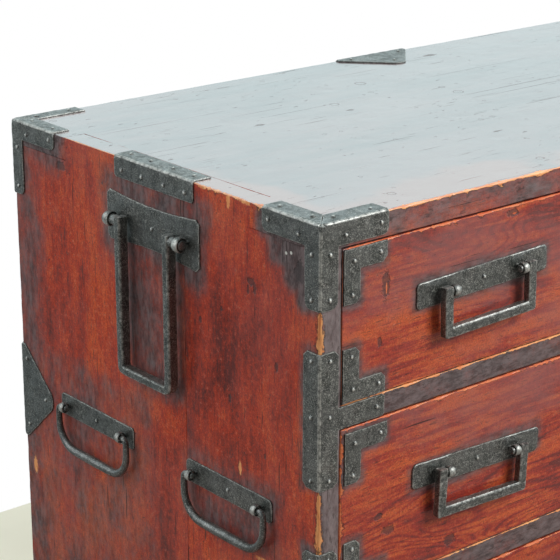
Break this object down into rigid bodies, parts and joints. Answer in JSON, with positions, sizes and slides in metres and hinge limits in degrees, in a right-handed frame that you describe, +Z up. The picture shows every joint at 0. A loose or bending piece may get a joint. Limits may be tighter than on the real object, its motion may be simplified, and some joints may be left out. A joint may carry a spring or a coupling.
{
  "type": "drawer chest",
  "caption": "Low lacquered wooden chest with full-width drawers, nailed iron corner plates, square bail drawer handles and hinged carrying handles on its sides.",
  "frame": {"origin": "middle of the case's underside, on the surface that it stands on", "axes": "+X to the right seen from the front, +Y to the back, +Z up; the drawers open towards -Y"},
  "size_m": [0.85, 0.4147, 0.4946],
  "materials": {
    "case_lacquer": "red-brown lacquer, darkened round the irons, worn to bare wood on the edges",
    "top_lacquer": "red-brown lacquer, glossy, scratched",
    "drawer_lacquer": "orange-red lacquer over wavy grain",
    "rail_lacquer": "dark lacquer, edges worn to bare wood",
    "bare_wood": "unfinished softwood",
    "black_iron": "hammered, oil-blackened wrought iron",
    "nail_iron": "rubbed bright on the heads"
  },
  "bodies": {
    "case": {"left_side_front_board": "case_lacquer", "left_side_rear_board": "case_lacquer", "right_side_front_board": "case_lacquer", "right_side_rear_board": "case_lacquer", "top_board": "top_lacquer", "bottom_board": "case_lacquer", "back_board": "bare_wood", "upper_rail": "rail_lacquer", "lower_rail": "rail_lacquer", "shelf_boards": "bare_wood", "front_top_corner_irons": "black_iron", "rear_top_corner_irons": "black_iron", "bottom_corner_irons": "black_iron", "upper_post_irons": "black_iron", "lower_post_irons": "black_iron", "side_straps": "black_iron", "rear_edge_plates": "black_iron", "rear_top_plate": "black_iron", "case_nails": "nail_iron", "carry_handle_plates": "black_iron", "carry_handle_pins": "black_iron", "lifting_handle_plates": "black_iron", "lifting_handle_pins": "black_iron"},
    "upper_drawer": {"upper_drawer_front": "drawer_lacquer", "upper_drawer_sides": "bare_wood", "upper_drawer_back": "bare_wood", "upper_drawer_bottom": "bare_wood", "upper_drawer_corner_irons": "black_iron", "upper_drawer_handle_plates": "black_iron", "upper_drawer_handle_pins": "black_iron", "upper_drawer_nails": "nail_iron"},
    "upper_drawer_left_bail": {"upper_drawer_left_bail": "black_iron"},
    "upper_drawer_right_bail": {"upper_drawer_right_bail": "black_iron"},
    "middle_drawer": {"middle_drawer_front": "drawer_lacquer", "middle_drawer_sides": "bare_wood", "middle_drawer_back": "bare_wood", "middle_drawer_bottom": "bare_wood", "middle_drawer_corner_irons": "black_iron", "middle_drawer_handle_plates": "black_iron", "middle_drawer_handle_pins": "black_iron", "middle_drawer_nails": "nail_iron"},
    "middle_drawer_left_bail": {"middle_drawer_left_bail": "black_iron"},
    "middle_drawer_right_bail": {"middle_drawer_right_bail": "black_iron"},
    "lower_drawer": {"lower_drawer_front": "drawer_lacquer", "lower_drawer_sides": "bare_wood", "lower_drawer_back": "bare_wood", "lower_drawer_bottom": "bare_wood", "lower_drawer_corner_irons": "black_iron", "lower_drawer_handle_plates": "black_iron", "lower_drawer_handle_pins": "black_iron", "lower_drawer_nails": "nail_iron"},
    "lower_drawer_left_bail": {"lower_drawer_left_bail": "black_iron"},
    "lower_drawer_right_bail": {"lower_drawer_right_bail": "black_iron"},
    "left_carry_handle": {"left_carry_handle": "black_iron"},
    "left_front_lifting_bail": {"left_front_lifting_bail": "black_iron"},
    "left_rear_lifting_bail": {"left_rear_lifting_bail": "black_iron"},
    "right_carry_handle": {"right_carry_handle": "black_iron"},
    "right_front_lifting_bail": {"right_front_lifting_bail": "black_iron"},
    "right_rear_lifting_bail": {"right_rear_lifting_bail": "black_iron"}
  },
  "joints": [
    {"name": "upper_drawer_slide", "type": "slide", "parent": "case", "child": "upper_drawer", "axis": [0, -1, 0], "range_m": [0, 0.3]},
    {"name": "upper_drawer_left_bail_swing", "type": "hinge", "parent": "upper_drawer", "child": "upper_drawer_left_bail", "pos_m": [-0.246, -0.2075, 0.4202], "axis": [-0.9997, 0, -0.0244], "range_deg": [0, 170]},
    {"name": "upper_drawer_right_bail_swing", "type": "hinge", "parent": "upper_drawer", "child": "upper_drawer_right_bail", "pos_m": [0.246, -0.2075, 0.4202], "axis": [-0.9997, 0, 0.0244], "range_deg": [0, 170]},
    {"name": "middle_drawer_slide", "type": "slide", "parent": "case", "child": "middle_drawer", "axis": [0, -1, 0], "range_m": [0, 0.3]},
    {"name": "middle_drawer_left_bail_swing", "type": "hinge", "parent": "middle_drawer", "child": "middle_drawer_left_bail", "pos_m": [-0.246, -0.2075, 0.2698], "axis": [-0.9992, 0, 0.0401], "range_deg": [0, 170]},
    {"name": "middle_drawer_right_bail_swing", "type": "hinge", "parent": "middle_drawer", "child": "middle_drawer_right_bail", "pos_m": [0.246, -0.2075, 0.2698], "axis": [-0.9992, 0, -0.0401], "range_deg": [0, 170]},
    {"name": "lower_drawer_slide", "type": "slide", "parent": "case", "child": "lower_drawer", "axis": [0, -1, 0], "range_m": [0, 0.3]},
    {"name": "lower_drawer_left_bail_swing", "type": "hinge", "parent": "lower_drawer", "child": "lower_drawer_left_bail", "pos_m": [-0.246, -0.2075, 0.1035], "axis": [-0.9999, 0, -0.0105], "range_deg": [0, 170]},
    {"name": "lower_drawer_right_bail_swing", "type": "hinge", "parent": "lower_drawer", "child": "lower_drawer_right_bail", "pos_m": [0.246, -0.2075, 0.1035], "axis": [-0.9999, 0, 0.0105], "range_deg": [0, 170]},
    {"name": "left_carry_handle_swing", "type": "hinge", "parent": "case", "child": "left_carry_handle", "pos_m": [-0.4186, -0.0005, 0.4424], "axis": [0, 1, 0], "range_deg": [0, 175]},
    {"name": "left_front_lifting_bail_swing", "type": "hinge", "parent": "case", "child": "left_front_lifting_bail", "pos_m": [-0.4166, -0.094, 0.2525], "axis": [0, 1, 0], "range_deg": [0, 170]},
    {"name": "left_rear_lifting_bail_swing", "type": "hinge", "parent": "case", "child": "left_rear_lifting_bail", "pos_m": [-0.4166, 0.085, 0.2525], "axis": [0, 1, 0], "range_deg": [0, 170]},
    {"name": "right_carry_handle_swing", "type": "hinge", "parent": "case", "child": "right_carry_handle", "pos_m": [0.4186, -0.0005, 0.4424], "axis": [0, -1, 0], "range_deg": [0, 175]},
    {"name": "right_front_lifting_bail_swing", "type": "hinge", "parent": "case", "child": "right_front_lifting_bail", "pos_m": [0.4166, -0.094, 0.2525], "axis": [0, -1, 0], "range_deg": [0, 170]},
    {"name": "right_rear_lifting_bail_swing", "type": "hinge", "parent": "case", "child": "right_rear_lifting_bail", "pos_m": [0.4166, 0.085, 0.2525], "axis": [0, -1, 0], "range_deg": [0, 170]}
  ]
}
